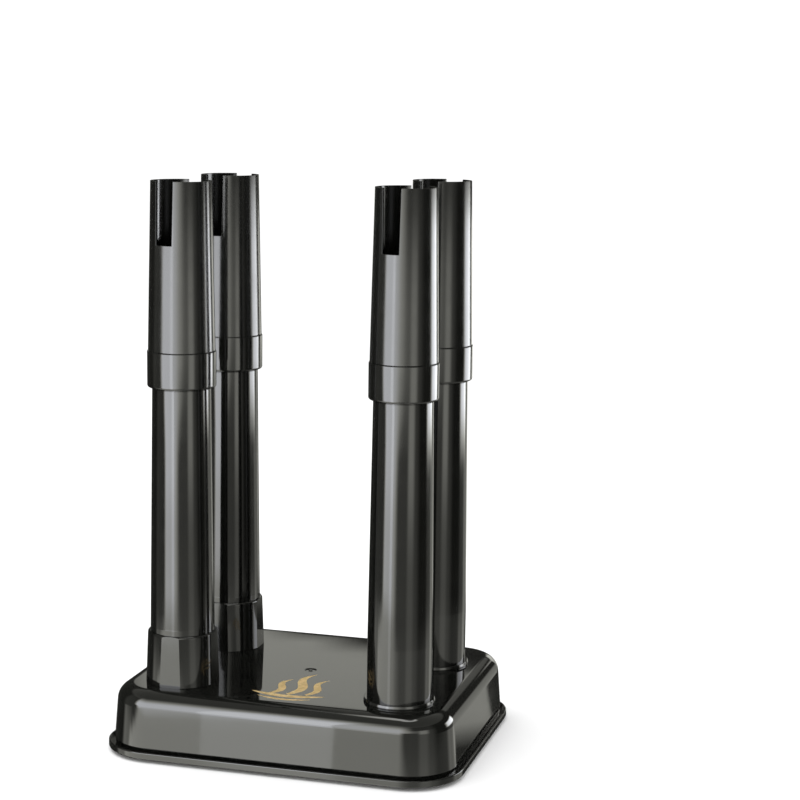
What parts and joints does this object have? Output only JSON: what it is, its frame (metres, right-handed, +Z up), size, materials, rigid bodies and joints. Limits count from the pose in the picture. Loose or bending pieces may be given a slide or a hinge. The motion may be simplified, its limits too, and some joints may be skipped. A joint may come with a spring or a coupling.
{
  "type": "boot dryer",
  "caption": "Free-standing convection dryer: a heated low base with ports, each with a stack of a lower tube, a turning coupling and a pull-off upper tube with outlet notches.",
  "frame": {"origin": "middle of the footprint, on the floor under the feet", "axes": "+Z up along the tubes, -Y towards the front of the base, +X to the right"},
  "size_m": [0.309, 0.245, 0.4794],
  "materials": {
    "housing_abs": "high-gloss near-black moulded ABS",
    "pan_abs": "near-black moulded ABS, slightly softer gloss",
    "tube_abs": "high-gloss near-black tube",
    "coupling_abs": "gloss near-black moulded ABS",
    "collar_abs": "gloss near-black moulded ABS",
    "foot_rubber": "matt black rubber",
    "screw_steel": "zinc-plated steel",
    "tray_aluminium": "bright rolled sheet",
    "element_sheath": "heat-darkened sheath",
    "terminal_steel": "plated pins in ceramic beads",
    "ceramic": "off-white steatite",
    "clip_steel": "plain sheet steel",
    "emblem_foil": "gold hot-stamped foil on the deck",
    "cutoff_steel": "thermostat cap",
    "block_plastic": "natural nylon",
    "lead_insulation": "glass-sleeved lead",
    "gland_plastic": "matt black nylon",
    "clamp_plastic": "matt black nylon"
  },
  "bodies": {
    "root": {"base_shell": "housing_abs", "bottom_pan": "pan_abs", "foot_front_left": "foot_rubber", "foot_front_right": "foot_rubber", "foot_rear_left": "foot_rubber", "foot_rear_right": "foot_rubber", "pan_screws": "screw_steel", "heat_tray": "tray_aluminium", "tray_screws": "screw_steel", "heater_element": "element_sheath", "element_terminals": "terminal_steel", "element_standoffs": "ceramic", "element_clips": "clip_steel", "clip_screws": "screw_steel", "thermal_cutoff": "cutoff_steel", "terminal_block": "block_plastic", "lead_live": "lead_insulation", "lead_link": "lead_insulation", "lead_neutral": "lead_insulation", "cord_gland": "gland_plastic", "cord_clamp": "clamp_plastic", "clamp_screws": "screw_steel", "port_socket_front_left": "housing_abs", "port_collar_front_left": "collar_abs", "port_socket_rear_left": "housing_abs", "port_collar_rear_left": "collar_abs", "port_socket_front_right": "housing_abs", "port_socket_rear_right": "housing_abs"},
    "lower_front_left": {"lower_tube_front_left": "tube_abs"},
    "grip_front_left": {"coupling_front_left": "coupling_abs"},
    "upper_front_left": {"upper_tube_front_left": "tube_abs"},
    "lower_rear_left": {"lower_tube_rear_left": "tube_abs"},
    "grip_rear_left": {"coupling_rear_left": "coupling_abs"},
    "upper_rear_left": {"upper_tube_rear_left": "tube_abs"},
    "lower_front_right": {"lower_tube_front_right": "tube_abs", "shoulder_ring_front_right": "collar_abs"},
    "grip_front_right": {"coupling_front_right": "coupling_abs"},
    "upper_front_right": {"upper_tube_front_right": "tube_abs"},
    "lower_rear_right": {"lower_tube_rear_right": "tube_abs", "shoulder_ring_rear_right": "collar_abs"},
    "grip_rear_right": {"coupling_rear_right": "coupling_abs"},
    "upper_rear_right": {"upper_tube_rear_right": "tube_abs"}
  },
  "joints": [
    {"name": "lift_front_left", "type": "slide", "parent": "root", "child": "lower_front_left", "axis": [0, 0, 1], "range_m": [0, 0.08]},
    {"name": "turn_front_left", "type": "hinge", "parent": "lower_front_left", "child": "grip_front_left", "pos_m": [-0.0956, -0.0646, 0.3274], "axis": [0, 0, 1], "continuous": true},
    {"name": "pull_front_left", "type": "slide", "parent": "grip_front_left", "child": "upper_front_left", "axis": [0, 0, 1], "range_m": [0, 0.03]},
    {"name": "lift_rear_left", "type": "slide", "parent": "root", "child": "lower_rear_left", "axis": [0, 0, 1], "range_m": [0, 0.08]},
    {"name": "turn_rear_left", "type": "hinge", "parent": "lower_rear_left", "child": "grip_rear_left", "pos_m": [-0.0956, 0.05, 0.3274], "axis": [0, 0, 1], "continuous": true},
    {"name": "pull_rear_left", "type": "slide", "parent": "grip_rear_left", "child": "upper_rear_left", "axis": [0, 0, 1], "range_m": [0, 0.03]},
    {"name": "lift_front_right", "type": "slide", "parent": "root", "child": "lower_front_right", "axis": [0, 0, 1], "range_m": [0, 0.08]},
    {"name": "turn_front_right", "type": "hinge", "parent": "lower_front_right", "child": "grip_front_right", "pos_m": [0.0956, -0.0646, 0.3274], "axis": [0, 0, 1], "continuous": true},
    {"name": "pull_front_right", "type": "slide", "parent": "grip_front_right", "child": "upper_front_right", "axis": [0, 0, 1], "range_m": [0, 0.03]},
    {"name": "lift_rear_right", "type": "slide", "parent": "root", "child": "lower_rear_right", "axis": [0, 0, 1], "range_m": [0, 0.08]},
    {"name": "turn_rear_right", "type": "hinge", "parent": "lower_rear_right", "child": "grip_rear_right", "pos_m": [0.0956, 0.05, 0.3274], "axis": [0, 0, 1], "continuous": true},
    {"name": "pull_rear_right", "type": "slide", "parent": "grip_rear_right", "child": "upper_rear_right", "axis": [0, 0, 1], "range_m": [0, 0.03]}
  ]
}
